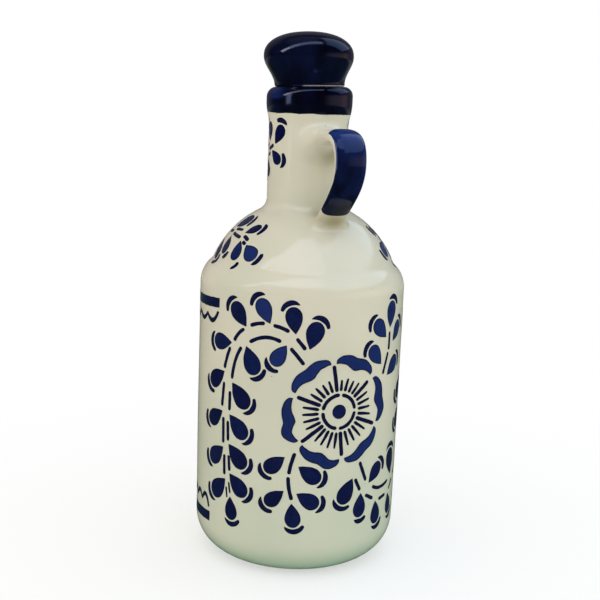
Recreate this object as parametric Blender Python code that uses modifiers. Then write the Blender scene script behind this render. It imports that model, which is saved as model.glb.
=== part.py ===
"""Ceramic oil bottle: a cast vessel, a luted strap handle and a knob stopper on a cork.

Metres, +Z up. The origin is the centre of the foot, and the handle points along -Y.
"""

import math

import bmesh
import bpy

CLEARANCE = 0.0003  # between pieces that touch

# Barrel and foot
BARREL_RADIUS = 0.046
BARREL_TOP = 0.1241  # where the wall starts to turn into the shoulder
WALL = 0.005
FLOOR = 0.005
BASE_ROUND = 0.017  # radius of the turn from the wall to the foot
FOOT_WIDTH = 0.007  # flat ring that the bottle stands on
FOOT_RECESS = 0.002

# Shoulder: a rounded corner, a soft crease and a spherical dome
CORNER_ROUND = 0.014
CREASE_ROUND = 0.0025
DOME_INSET = 0.002  # dome's radius under the barrel's
DOME_DROP = 0.0061  # dome's centre below the top of the barrel
DOME_RADIUS = BARREL_RADIUS - DOME_INSET
DOME_CENTRE = BARREL_TOP - DOME_DROP

# Neck and lip
NECK_RADIUS = 0.0175
NECK_WALL = 0.0052
NECK_RISE = 0.0483  # mouth above the crown of the dome
NECK_FILLET = 0.006
NECK_BORE = NECK_RADIUS - NECK_WALL
LIP_STEP = 0.0016  # lip's radius over the neck's
LIP_FLARE = 0.0115  # height over which the neck widens into the lip
LIP_SIDE = 0.0025  # height of the lip's upright side
LIP_ROUND = 0.0034
LIP_INNER_ROUND = 0.001
LIP_RADIUS = NECK_RADIUS + LIP_STEP
MOUTH = DOME_CENTRE + DOME_RADIUS + NECK_RISE

# Strap handle: its centre line leaves the neck, turns at the reach and ends in the shoulder
HANDLE_WIDTH = 0.0140
HANDLE_NECK_WIDTH = 0.0161  # wider where it leaves the neck
HANDLE_THICKNESS = 0.0058
HANDLE_SQUARENESS = 2.6  # 2 is an oval section, more is a flatter strap
HANDLE_FINGER_GAP = 0.0206  # room between the neck and the strap
HANDLE_NECK_DROP = 0.0228  # upper root below the mouth
HANDLE_REACH_DROP = 0.0303  # furthest point below the mouth
HANDLE_SHOULDER_STEP = 0.0077  # lower root out from the side of the neck
HANDLE_NECK_RISE = 24.0  # degrees above level where it leaves the neck
HANDLE_NECK_PULL = 0.0185  # lengths of the centre line's tangents
HANDLE_REACH_PULL = 0.0116
HANDLE_SHOULDER_PULL = 0.0098
HANDLE_EMBED = 0.006  # length that runs on into the clay and is cut away

# Stopper: a glazed knob glued over the head of a tapered cork
CORK_TAPER = 0.0012  # fall in radius from the mouth to the tip
CORK_HEAD_DEPTH = 0.012  # length glued into the knob
CORK_PLUG_LENGTH = 0.022  # length inside the neck
CORK_CHAMFER = 0.001
CORK_RADIUS = NECK_BORE - CLEARANCE
KNOB_WALL = 0.0028  # round the cork at the seat
KNOB_BULGE = 0.0044  # widest radius over that of the seat
KNOB_HEIGHT = 0.0252
KNOB_BULGE_HEIGHT = 0.0143
KNOB_CROWN_POWER = 2.25  # 2 is an elliptical crown, more is a flatter one
SOCKET_RADIUS = CORK_RADIUS + CLEARANCE
KNOB_SEAT_RADIUS = SOCKET_RADIUS + KNOB_WALL

TURN_STEPS = 48
MERGE = 0.00001


def arc(centre, radius, start, end, steps):
    """Points on a circle in the (radius, height) plane, angles in degrees from +radius."""
    points = []
    for i in range(steps + 1):
        angle = math.radians(start + (end - start) * i / steps)
        points.append((centre[0] + radius * math.cos(angle), centre[1] + radius * math.sin(angle)))
    return points


def heading(start, end):
    """Angle in degrees of the line from one point to another."""
    return math.degrees(math.atan2(end[1] - start[1], end[0] - start[0]))


def moved(place, direction, distance):
    """A (radius, height) point moved along a direction."""
    return (place[0] + distance * direction[0], place[1] + distance * direction[1])


def circles_meet(first, first_radius, second, second_radius):
    """The outer of the two points where circles in the (radius, height) plane cross."""
    apart = math.dist(first, second)
    along = (first_radius**2 - second_radius**2 + apart**2) / (2 * apart)
    across = math.sqrt(first_radius**2 - along**2)
    forward = ((second[0] - first[0]) / apart, (second[1] - first[1]) / apart)
    sideways = (forward[1], -forward[0])
    foot = moved(first, forward, along)
    return max(moved(foot, sideways, across), moved(foot, sideways, -across), key=sum)


def turned(name, outline, collection, material=None):
    """A solid turned about Z from (radius, height) points that run down its outer side."""
    mesh = bpy.data.meshes.new(name)
    points = [(radius, 0.0, height) for radius, height in outline]
    edges = [(i, i + 1) for i in range(len(points) - 1)]
    mesh.from_pydata(points, edges, [])
    if material:
        mesh.materials.append(material)
    made = bpy.data.objects.new(name, mesh)
    collection.objects.link(made)
    screw = made.modifiers.new("turn", "SCREW")
    screw.axis = "Z"
    screw.angle = math.tau
    screw.steps = TURN_STEPS
    screw.render_steps = TURN_STEPS
    screw.use_merge_vertices = True
    screw.merge_threshold = MERGE
    screw.use_smooth_shade = True
    return made


def plain_material(name, colour, roughness):
    material = bpy.data.materials.new(name)
    material.use_nodes = True
    shader = material.node_tree.nodes["Principled BSDF"]
    shader.inputs["Base Color"].default_value = (*colour, 1.0)
    shader.inputs["Roughness"].default_value = roughness
    shader.inputs["Metallic"].default_value = 0.0
    return material


def shoulder_centres():
    """Centres of the corner, the crease and the dome of the shoulder."""
    corner = (BARREL_RADIUS - CORNER_ROUND, BARREL_TOP)
    dome = (0.0, DOME_CENTRE)
    crease = circles_meet(corner, CORNER_ROUND + CREASE_ROUND, dome, DOME_RADIUS + CREASE_ROUND)
    return corner, crease, dome


def neck_fillet_centre():
    """Centre of the hollow turn that is tangent to the neck and to the dome."""
    across = NECK_RADIUS + NECK_FILLET
    rise = math.sqrt((DOME_RADIUS + NECK_FILLET) ** 2 - across**2)
    return (across, DOME_CENTRE + rise)


def lip_inside():
    """The rounded edge between the bore and the flat top of the lip."""
    centre = (NECK_BORE + LIP_INNER_ROUND, MOUTH - LIP_INNER_ROUND)
    return arc(centre, LIP_INNER_ROUND, 180, 90, 3)


def lip_outside():
    """From the flat top of the lip over its edge and down the flare to the neck."""
    points = arc((LIP_RADIUS - LIP_ROUND, MOUTH - LIP_ROUND), LIP_ROUND, 90, 0, 5)
    flare_top = MOUTH - LIP_ROUND - LIP_SIDE
    steps = 7
    for i in range(steps + 1):
        ease = (1 + math.cos(math.pi * i / steps)) / 2
        points.append((NECK_RADIUS + LIP_STEP * ease, flare_top - LIP_FLARE * i / steps))
    return points


def shoulder_outline():
    """From the foot of the neck down to the top of the barrel."""
    corner, crease, dome = shoulder_centres()
    fillet = neck_fillet_centre()
    dome_start, dome_end = heading(dome, fillet), heading(dome, crease)
    corner_start = heading(corner, crease)
    points = arc(fillet, NECK_FILLET, 180, 180 + dome_start, 5)
    points += arc(dome, DOME_RADIUS, dome_start, dome_end, 9)[1:]
    points += arc(crease, CREASE_ROUND, 180 + dome_end, 180 + corner_start, 3)[1:]
    points += arc(corner, CORNER_ROUND, corner_start, 0, 6)[1:]
    return points


def base_outline():
    """From the foot of the barrel round to the ring that it stands on."""
    return arc((BARREL_RADIUS - BASE_ROUND, BASE_ROUND), BASE_ROUND, 0, -90, 8)


def recess_outline():
    """From the inner edge of the standing ring to the axis."""
    edge = BARREL_RADIUS - BASE_ROUND - FOOT_WIDTH
    return arc((edge - FOOT_RECESS, 0.0), FOOT_RECESS, 0, 90, 3) + [(0.0, FOOT_RECESS)]


def hollow_outline():
    """The inside, from the middle of the floor up the wall and under the dome to the bore."""
    corner, _, dome = shoulder_centres()
    floor = FOOT_RECESS + FLOOR
    turn, inner_corner, inner_dome = BASE_ROUND - WALL, CORNER_ROUND - WALL, DOME_RADIUS - WALL
    meet = circles_meet(corner, inner_corner, dome, inner_dome)
    bore_angle = math.degrees(math.acos(NECK_BORE / inner_dome))
    points = [(0.0, floor)]
    points += arc((BARREL_RADIUS - WALL - turn, floor + turn), turn, -90, 0, 5)
    points += arc(corner, inner_corner, 0, heading(corner, meet), 4)
    points += arc(dome, inner_dome, heading(dome, meet), bore_angle, 6)[1:]
    return points


def skin_outline(offset):
    """The outer skin as a full solid to the axis, moved outwards by an offset."""
    skin = lip_outside() + shoulder_outline() + base_outline()
    points = [(0.0, MOUTH + offset)]
    for i, place in enumerate(skin):
        before, after = skin[max(i - 1, 0)], skin[min(i + 1, len(skin) - 1)]
        length = math.dist(before, after)
        outward = ((before[1] - after[1]) / length, (after[0] - before[0]) / length)
        points.append(moved(place, outward, offset))
    return points + [(0.0, points[-1][1])]


def bottle_body(collection, material):
    outline = hollow_outline() + lip_inside() + lip_outside() + shoulder_outline()
    outline += base_outline() + recess_outline()
    return turned("bottle_body", outline, collection, material)


def in_handle_plane(place):
    """A (radius, height) point in the plane that the handle lies in."""
    return (0.0, -place[0], place[1])


def handle_section(collection):
    """Outline of the strap across its length: a flattened oval."""
    curve = bpy.data.curves.new("handle_section", "CURVE")
    curve.dimensions = "2D"
    curve.fill_mode = "NONE"
    spline = curve.splines.new("POLY")
    corners = 20
    spline.points.add(corners - 1)
    power = 2 / HANDLE_SQUARENESS
    for i, point in enumerate(spline.points):
        angle = math.tau * i / corners
        across, through = math.cos(angle), math.sin(angle)
        across = math.copysign(abs(across) ** power, across) * HANDLE_WIDTH / 2
        through = math.copysign(abs(through) ** power, through) * HANDLE_THICKNESS / 2
        point.co = (across, through, 0.0, 1.0)
    spline.use_cyclic_u = True
    made = bpy.data.objects.new("handle_section", curve)
    made.hide_render = True
    collection.objects.link(made)
    return made


def handle_path(collection, section):
    """Centre line of the strap: out of the neck, round at the reach and down into the shoulder."""
    rise = math.radians(HANDLE_NECK_RISE)
    neck = (NECK_RADIUS, MOUTH - HANDLE_NECK_DROP)
    reach = (NECK_RADIUS + HANDLE_FINGER_GAP + HANDLE_THICKNESS / 2, MOUTH - HANDLE_REACH_DROP)
    root_angle = math.acos((NECK_RADIUS + HANDLE_SHOULDER_STEP) / DOME_RADIUS)
    into_shoulder = (-math.cos(root_angle), -math.sin(root_angle))
    shoulder = moved((0.0, DOME_CENTRE), into_shoulder, -DOME_RADIUS)
    out_of_neck = (math.cos(rise), math.sin(rise))
    down = (0.0, -1.0)
    start = moved(neck, out_of_neck, -HANDLE_EMBED)
    end = moved(shoulder, into_shoulder, HANDLE_EMBED)
    above, below = moved(reach, down, -HANDLE_REACH_PULL), moved(reach, down, HANDLE_REACH_PULL)
    stations = [
        (start, start, moved(neck, out_of_neck, HANDLE_NECK_PULL), HANDLE_NECK_WIDTH / HANDLE_WIDTH),
        (above, reach, below, 1.0),
        (moved(shoulder, into_shoulder, -HANDLE_SHOULDER_PULL), end, end, 1.0),
    ]
    curve = bpy.data.curves.new("handle_path", "CURVE")
    curve.dimensions = "3D"
    curve.resolution_u = 10
    curve.twist_mode = "MINIMUM"
    curve.bevel_mode = "OBJECT"
    curve.bevel_object = section
    curve.use_fill_caps = True
    spline = curve.splines.new("BEZIER")
    spline.radius_interpolation = "EASE"
    spline.bezier_points.add(len(stations) - 1)
    for point, (before, place, after, flare) in zip(spline.bezier_points, stations):
        point.handle_left_type = "FREE"
        point.handle_right_type = "FREE"
        point.handle_left = in_handle_plane(before)
        point.co = in_handle_plane(place)
        point.handle_right = in_handle_plane(after)
        point.radius = flare
    made = bpy.data.objects.new("handle_path", curve)
    collection.objects.link(made)
    return made


def handle(collection, cutters, material):
    """The strap, cut back to the clay that it is luted onto."""
    path = handle_path(cutters, handle_section(cutters))
    bpy.context.view_layer.update()
    graph = bpy.context.evaluated_depsgraph_get()
    mesh = bpy.data.meshes.new_from_object(path.evaluated_get(graph))
    mesh.name = "handle"
    strap = bmesh.new()
    strap.from_mesh(mesh)
    bmesh.ops.remove_doubles(strap, verts=strap.verts, dist=MERGE)
    bmesh.ops.recalc_face_normals(strap, faces=strap.faces)
    strap.to_mesh(mesh)
    strap.free()
    mesh.materials.clear()
    mesh.materials.append(material)
    mesh.shade_smooth()
    made = bpy.data.objects.new("handle", mesh)
    made.matrix_world = path.matrix_world
    collection.objects.link(made)
    bpy.data.objects.remove(path)
    skin = turned("body_skin", skin_outline(CLEARANCE), cutters)
    skin.hide_render = True
    skin.display_type = "WIRE"
    cut = made.modifiers.new("luting_face", "BOOLEAN")
    cut.operation = "DIFFERENCE"
    cut.object = skin
    return made


def knob_outline():
    """The knob above the mouth, from its crown down to its seat and up inside the socket."""
    widest = KNOB_SEAT_RADIUS + KNOB_BULGE
    crown_steps, waist_steps = 12, 8
    points = []
    for i in range(crown_steps + 1):
        angle = math.pi / 2 * i / crown_steps
        out = math.sin(angle) ** (2 / KNOB_CROWN_POWER)
        up = math.cos(angle) ** (2 / KNOB_CROWN_POWER)
        points.append((widest * out, KNOB_BULGE_HEIGHT + (KNOB_HEIGHT - KNOB_BULGE_HEIGHT) * up))
    for i in range(1, waist_steps + 1):
        ease = (1 + math.cos(math.pi * i / waist_steps)) / 2
        height = KNOB_BULGE_HEIGHT + (CLEARANCE - KNOB_BULGE_HEIGHT) * i / waist_steps
        points.append((KNOB_SEAT_RADIUS + KNOB_BULGE * ease, height))
    socket_top = CORK_HEAD_DEPTH + CLEARANCE
    return points + [(SOCKET_RADIUS, CLEARANCE), (SOCKET_RADIUS, socket_top), (0.0, socket_top)]


def cork_outline():
    """The cork about the mouth: straight where it is glued in, tapered inside the neck."""
    tip_radius = CORK_RADIUS - CORK_TAPER
    return [
        (0.0, CORK_HEAD_DEPTH),
        (CORK_RADIUS - CORK_CHAMFER, CORK_HEAD_DEPTH),
        (CORK_RADIUS, CORK_HEAD_DEPTH - CORK_CHAMFER),
        (CORK_RADIUS, 0.0),
        (tip_radius, CORK_CHAMFER - CORK_PLUG_LENGTH),
        (tip_radius - CORK_CHAMFER, -CORK_PLUG_LENGTH),
        (0.0, -CORK_PLUG_LENGTH),
    ]


def stopper(collection, knob_material, cork_material):
    """Knob and cork on an empty that stands on the axis, at the mouth."""
    axis = bpy.data.objects.new("stopper_axis", None)
    axis.location = (0.0, 0.0, MOUTH)
    collection.objects.link(axis)
    turned("stopper_knob", knob_outline(), collection, knob_material).parent = axis
    turned("stopper_cork", cork_outline(), collection, cork_material).parent = axis


def main():
    for old in list(bpy.data.objects):
        bpy.data.objects.remove(old)
    bottle = bpy.data.collections.new("ceramic_oil_bottle")
    cutters = bpy.data.collections.new("cutters")
    bpy.context.scene.collection.children.link(bottle)
    bpy.context.scene.collection.children.link(cutters)
    white = plain_material("white_glaze", (0.60, 0.57, 0.46), 0.12)
    cobalt = plain_material("cobalt_glaze", (0.008, 0.012, 0.085), 0.08)
    cork = plain_material("cork", (0.42, 0.27, 0.14), 0.85)
    bottle_body(bottle, white)
    handle(bottle, cutters, cobalt)
    stopper(bottle, cobalt, cork)


main()
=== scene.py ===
import bisect
import math
import random

import bmesh
import bpy
from mathutils import Matrix, Vector, geometry, noise


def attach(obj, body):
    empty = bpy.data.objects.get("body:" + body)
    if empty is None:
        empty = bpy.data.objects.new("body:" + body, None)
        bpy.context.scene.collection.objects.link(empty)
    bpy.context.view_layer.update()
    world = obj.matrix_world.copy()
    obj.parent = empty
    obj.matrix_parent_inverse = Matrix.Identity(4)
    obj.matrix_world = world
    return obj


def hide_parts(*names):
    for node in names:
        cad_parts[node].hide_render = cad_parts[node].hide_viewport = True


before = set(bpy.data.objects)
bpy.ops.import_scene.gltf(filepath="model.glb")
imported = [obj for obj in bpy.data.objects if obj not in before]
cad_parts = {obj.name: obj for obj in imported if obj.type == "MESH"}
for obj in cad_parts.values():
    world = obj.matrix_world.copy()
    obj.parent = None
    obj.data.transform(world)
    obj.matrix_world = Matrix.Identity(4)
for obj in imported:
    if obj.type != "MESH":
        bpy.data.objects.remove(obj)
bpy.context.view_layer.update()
mm = 0.001
scene = bpy.context.scene
scene.view_settings.view_transform = "Standard"
hand = random.Random(11)  # the painter's unevenness, the same each run
print("frame:", ", ".join(sorted(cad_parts)))


# small sums used all through
def clamp(value):
    return min(1.0, max(0.0, value))


def bell(value, middle, wide):
    return math.exp(-((value - middle) / wide) ** 2)


def pointing(angle):
    return Vector((math.cos(angle), math.sin(angle)))


def runsOf(spots):
    # distance along a line of points, from its start
    runs = [0.0]
    for before, after in zip(spots, spots[1:]):
        runs.append(runs[-1] + (after - before).length)
    return runs


def stepAt(runs, run):
    # the step of a rising list that holds this value, and its share of the way through that step
    i = min(max(bisect.bisect_right(runs, run), 1), len(runs) - 1)
    return i, (run - runs[i - 1]) / (runs[i] - runs[i - 1])


# camera, matched to the photo
photoView = {
    "azimuth": -25.0,  # degrees round from the handle's side
    "distance": 482.64,  # mm
    "height": 205.22,
    "sideways": -0.8,
    "pitch": 10.48,  # degrees down
    "roll": 2.24,
    "lens": 64.68,
    "sensor": 36.0,
}
azimuth = math.radians(photoView["azimuth"])
viewRight = Vector((math.cos(azimuth), math.sin(azimuth), 0))
viewBack = Vector((math.sin(azimuth), -math.cos(azimuth), 0))  # from the bottle to the lens
up = Vector((0, 0, 1))


def standCamera():
    pitch, roll = math.radians(photoView["pitch"]), math.radians(photoView["roll"])
    look = -viewBack * math.cos(pitch) - up * math.sin(pitch)
    level = viewRight.cross(look)
    right = viewRight * math.cos(roll) + level * math.sin(roll)
    top = level * math.cos(roll) - viewRight * math.sin(roll)
    lens = bpy.data.cameras.new("photoCamera")
    lens.lens = photoView["lens"]
    lens.sensor_width = photoView["sensor"]
    lens.clip_start = 0.01
    camera = bpy.data.objects.new("photoCamera", lens)
    stand = Matrix((right, top, -look)).transposed().to_4x4()
    spot = viewBack * photoView["distance"] + viewRight * photoView["sideways"]
    stand.translation = (spot + up * photoView["height"]) * mm
    camera.matrix_world = stand
    scene.collection.objects.link(camera)
    scene.camera = camera


standCamera()
print("camera stands")


# materials
def toLinear(hexText):
    shares = [int(hexText[i:i + 2], 16) / 255 for i in (0, 2, 4)]
    return [c / 12.92 if c <= 0.04045 else ((c + 0.055) / 1.055) ** 2.4 for c in shares] + [1.0]


def addNode(tree, kind, inputs=None, **settings):
    node = tree.nodes.new(kind)
    for name, value in settings.items():
        setattr(node, name, value)
    for name, value in (inputs or {}).items():
        if isinstance(value, bpy.types.NodeSocket):
            tree.links.new(value, node.inputs[name])
        else:
            node.inputs[name].default_value = value
    return node


def newMaterial(name):
    material = bpy.data.materials.new(name)
    material.use_nodes = True
    return material, material.node_tree


def placeOf(tree):
    return addNode(tree, "ShaderNodeTexCoord").outputs["Object"]


def startMaterial(name):
    material, tree = newMaterial(name)
    return material, tree, tree.nodes["Principled BSDF"], placeOf(tree)


fixA, fixB, mixed = 6, 7, 2  # colour sockets of a Mix node


def blendColour(tree, share, *ends):
    # each end is hex text or a socket
    first, second = [toLinear(end) if isinstance(end, str) else end for end in ends]
    sockets = {0: share, fixA: first, fixB: second}
    return addNode(tree, "ShaderNodeMix", sockets, data_type="RGBA").outputs[mixed]


def spread(tree, value, low, high, newLow=0.0, newHigh=1.0):
    sockets = {"Value": value, "From Min": low, "From Max": high, "To Min": newLow, "To Max": newHigh}
    return addNode(tree, "ShaderNodeMapRange", sockets, interpolation_type="SMOOTHSTEP").outputs["Result"]


def maths(tree, operation, *values):
    return addNode(tree, "ShaderNodeMath", dict(enumerate(values)), operation=operation).outputs[0]


def heightOf(tree, place):
    return addNode(tree, "ShaderNodeSeparateXYZ", {"Vector": place}).outputs["Z"]


def painted(tree, name):
    return addNode(tree, "ShaderNodeAttribute", attribute_name=name).outputs["Fac"]


def cloudy(tree, place, size, detail):
    # soft noise in patches this many mm across
    sockets = {"Vector": place, "Scale": 1000 / size, "Detail": detail}
    return addNode(tree, "ShaderNodeTexNoise", sockets).outputs["Fac"]


def grainy(tree, place, size, output, **settings):
    # cells this many mm across
    sockets = {"Vector": place, "Scale": 1000 / size}
    return addNode(tree, "ShaderNodeTexVoronoi", sockets, **settings).outputs[output]


def dented(tree, height, depth, **more):
    sockets = {"Height": height, "Distance": depth * mm, "Strength": 1.0, **more}
    return addNode(tree, "ShaderNodeBump", sockets).outputs["Normal"]


clearGlaze = {
    "peelSize": 3.0,  # mm between dimples, drawn coarser than the real 1 mm so that they show
    "peelDepth": 0.007,
    "rippleSize": 21.0,  # mm, slow waves left by dipping
    "rippleDepth": 0.09,
    "smooth": 0.07,
    "dull": 0.15,
    "drift": (0.35, 0.7),  # of the ripple, from smooth to dull
    "overWhite": 1.62,  # index of refraction
    "overBlue": 1.46,
}


def glazeOver(tree, shader, place, ior):
    # one clear glaze runs over clay and paint alike, so both share its dimples and gloss
    g = clearGlaze
    ripple = cloudy(tree, place, g["rippleSize"], 1.0)
    peel = cloudy(tree, place, g["peelSize"], 1.0)
    slow = dented(tree, ripple, g["rippleDepth"])
    tree.links.new(dented(tree, peel, g["peelDepth"], Normal=slow), shader.inputs["Normal"])
    gloss = spread(tree, ripple, *g["drift"], g["smooth"], g["dull"])
    tree.links.new(gloss, shader.inputs["Roughness"])
    shader.inputs["IOR"].default_value = ior


# tin-white earthenware, dipped and fired: warm cream that drifts in soft patches, greener and darker towards
# the foot, a few iron specks
whiteGlaze = {
    "cream": "d2cab6",
    "ash": "c9c5b1",
    "thick": "bac9b2",  # greener low on the wall
    "foot": "99bb9d",
    "paintedShade": "8f8561",  # painted shade, olive, in the crooks of the handle
    "biscuit": "c9b491",
    "iron": "6d624c",
    "patch": 46.0,  # mm
    "patches": (0.35, 0.65),
    "drift": 0.03,  # metres that the edge of the greener part wanders
    # heights in metres where a tint starts and is full, and its least and greatest share
    "greenerBelow": (0.13, 0.025, 0.0, 0.45),
    "footTint": (0.016, 0.0015, 0.0, 0.8),
    "footRing": (0.0007, 0.0003),  # ring wiped clean before firing
    "speckSpacing": 13.0,
    "speckSize": 0.3,
    "speckHeart": 0.4,  # share of a speck that is full dark
}


def makeWhiteGlaze():
    look = whiteGlaze
    material, tree, shader, place = startMaterial("tinGlazedEarthenware")
    patch = cloudy(tree, place, look["patch"], 2.0)
    body = blendColour(tree, spread(tree, patch, *look["patches"]), look["cream"], look["ash"])
    height = heightOf(tree, place)
    drift = maths(tree, "MULTIPLY_ADD", patch, look["drift"], height)
    body = blendColour(tree, spread(tree, drift, *look["greenerBelow"]), body, look["thick"])
    body = blendColour(tree, spread(tree, height, *look["footTint"]), body, look["foot"])
    # painted shade in the crooks of the handle, from a vertex attribute
    body = blendColour(tree, painted(tree, "paintedShade"), body, look["paintedShade"])
    cell = grainy(tree, place, look["speckSpacing"], "Distance")
    size = look["speckSize"] / look["speckSpacing"]
    body = blendColour(tree, spread(tree, cell, size, look["speckHeart"] * size), body, look["iron"])
    body = blendColour(tree, spread(tree, height, *look["footRing"]), body, look["biscuit"])
    tree.links.new(body, shader.inputs["Base Color"])
    glazeOver(tree, shader, place, clearGlaze["overWhite"])
    return material


# cobalt glaze laid thick with a brush: near-black blue with paler streaks where it thinned
solidCobalt = {
    "deep": "050615", "thin": "0a102d", "paleBlue": "1b2e6b", "clay": "f4efe8", "gloss": "bacdff",
    "streak": 11.0, "stretch": 0.45,  # mm between streaks, and how much they are drawn out in height
    "streaks": (0.38, 0.68), "streakShare": 0.6,
    # by how pale a piece is painted: paler blue is painted reflection on the lip and the strap, higher still
    # the painted highlight round the knob's foot; below zero the glaze shines less, a painted shade at the
    # strap's foot
    "paler": (0.4, 1.2), "footRing": (1.5, 1.9), "glossDimmed": (-0.45, -0.08, 0.2, 0.5),
}


def makeSolidCobalt():
    look = solidCobalt
    material, tree, shader, place = startMaterial("brushedCobaltGlaze")
    pulled = addNode(tree, "ShaderNodeMapping", {"Vector": place, "Scale": (1, 1, look["stretch"])})
    streak = cloudy(tree, pulled.outputs["Vector"], look["streak"], 3.0)
    body = blendColour(tree, spread(tree, streak, *look["streaks"]), look["deep"], look["thin"])
    paleness = painted(tree, "paleness")
    tone = maths(tree, "MULTIPLY_ADD", streak, look["streakShare"], paleness)
    # paler blue where a painted reflection is laid on
    body = blendColour(tree, spread(tree, tone, *look["paler"]), body, look["paleBlue"])
    # painted highlight round the knob's foot
    body = blendColour(tree, spread(tree, paleness, *look["footRing"]), body, look["clay"])
    tree.links.new(body, shader.inputs["Base Color"])
    shader.inputs["Specular Tint"].default_value = toLinear(look["gloss"])
    # less gloss where painted shade dims the strap's foot
    tree.links.new(spread(tree, paleness, *look["glossDimmed"]), shader.inputs["Specular IOR Level"])
    glazeOver(tree, shader, place, clearGlaze["overBlue"])
    return material


# cobalt slip sponged through a stencil under the glaze: mid blue, darker where it pooled along the cut edge
stencilCobalt = {
    "pool": "0a0b26",
    "dark": "070b35",
    "light": "19295e",
    "poolWidth": 0.75,  # mm
    "poolEdge": 0.1,
    "sponge": 2.4,  # mm, drawn coarser than the real 0.5 mm so that it shows
    "spongeShare": 0.5,
    "tones": (0.25, 1.15),
}


def makeStencilCobalt():
    look = stencilCobalt
    material, tree, shader, place = startMaterial("stencilledCobaltSlip")
    brushMap = addNode(tree, "ShaderNodeUVMap", uv_map="brush").outputs["UV"]
    inward = addNode(tree, "ShaderNodeSeparateXYZ", {"Vector": brushMap}).outputs["Y"]
    sponge = cloudy(tree, place, look["sponge"], 3.0)
    tone = maths(tree, "MULTIPLY_ADD", sponge, look["spongeShare"], painted(tree, "paleness"))
    body = blendColour(tree, spread(tree, tone, *look["tones"]), look["dark"], look["light"])
    pool = spread(tree, inward, look["poolWidth"], look["poolEdge"])
    body = blendColour(tree, pool, body, look["pool"])
    tree.links.new(body, shader.inputs["Base Color"])
    glazeOver(tree, shader, place, clearGlaze["overWhite"])
    return material


# ground and pressed cork, sanded: tan grains in two tones with dark pores between
pressedCork = {
    "pale": "b98d5c", "brown": "8a5f38", "pore": "3f2817", "grain": 1.9, "pores": (0.09, 0.02),
    "depth": 0.25, "dents": 0.8, "rough": 0.85,
}


def makeCork():
    look = pressedCork
    material, tree, shader, place = startMaterial("pressedCork")
    grain = grainy(tree, place, look["grain"], "Color")
    seam = grainy(tree, place, look["grain"], "Distance", feature="DISTANCE_TO_EDGE")
    shade = addNode(tree, "ShaderNodeSeparateColor", {"Color": grain}).outputs[0]
    body = blendColour(tree, shade, look["pale"], look["brown"])
    body = blendColour(tree, spread(tree, seam, *look["pores"]), body, look["pore"])
    tree.links.new(body, shader.inputs["Base Color"])
    tree.links.new(dented(tree, seam, look["depth"], Strength=look["dents"]), shader.inputs["Normal"])
    shader.inputs["Roughness"].default_value = look["rough"]
    return material


whiteLook, solidLook = makeWhiteGlaze(), makeSolidCobalt()
stencilLook, corkLook = makeStencilCobalt(), makeCork()
print("materials mixed")


# shared making
sharpEdge = math.radians(38)


def keepPiece(name, mesh, material, body, slotName, *nodes):
    for face in mesh.faces:
        face.smooth = True
    for edge in mesh.edges:
        edge.smooth = edge.calc_face_angle(0.0) < sharpEdge
    data = bpy.data.meshes.new(name)
    mesh.to_mesh(data)
    mesh.free()
    data.materials.append(material)
    piece = bpy.data.objects.new(name, data)
    scene.collection.objects.link(piece)
    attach(piece, body)
    if nodes:
        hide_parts(*nodes)
    print("piece:", name, len(data.polygons), "faces")
    return piece


def startWire(radius, height):
    wire = bmesh.new()
    wire.verts.new((radius * mm, 0, height * mm))
    wire.verts.ensure_lookup_table()
    return wire


def lineTo(wire, radius, height, steps=1):
    wire.verts.ensure_lookup_table()
    step = (Vector((radius * mm, 0, height * mm)) - wire.verts[-1].co) / steps
    for _ in range(steps):
        wire.verts.ensure_lookup_table()
        grown = bmesh.ops.extrude_vert_indiv(wire, verts=[wire.verts[-1]])
        bmesh.ops.translate(wire, verts=grown["verts"], vec=step)


def arcTo(wire, centre, degrees, steps):
    wire.verts.ensure_lookup_table()
    hub, turn = (centre[0] * mm, 0, centre[1] * mm), math.radians(degrees)
    bmesh.ops.spin(wire, geom=[wire.verts[-1]], cent=hub, axis=(0, -1, 0), angle=turn, steps=steps)


def turnOnWheel(wire, steps):
    around = {"cent": (0, 0, 0), "axis": (0, 0, 1), "angle": math.tau, "steps": steps}
    bmesh.ops.spin(wire, geom=wire.verts[:] + wire.edges[:], use_merge=True, **around)
    bmesh.ops.remove_doubles(wire, verts=wire.verts, dist=0.000001)
    bmesh.ops.recalc_face_normals(wire, faces=wire.faces)


def heading(start, end):
    return math.degrees(math.atan2(end[1] - start[1], end[0] - start[0]))


# bottle, in mm
vessel = {
    "barrelRadius": 46.0, "barrelTop": 124.1, "wall": 5.0, "floor": 7.0,
    "baseRound": 17.0, "footWidth": 7.0, "footRecess": 2.0,
    "cornerRound": 12.8, "creaseRound": 5.0, "domeRadius": 44.0, "domeCentre": 118.0,
    "neckRadius": 17.5, "neckBore": 12.3, "neckFillet": 6.0,
    "lipRadius": 18.9, "lipFlare": 9.5, "lipSide": 2.2, "lipRound": 4.2, "lipInner": 1.0, "mouth": 210.3,
    "unevenness": 0.2,  # mm that a hand-finished wall wanders
    "footTaper": 0.4,  # mm that the wall draws in towards the foot
    "mouthRaise": 1.0, "mouthTip": 2.0,  # mm and degrees that the hand-trimmed lip is out
    "turns": 288,
}


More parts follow.
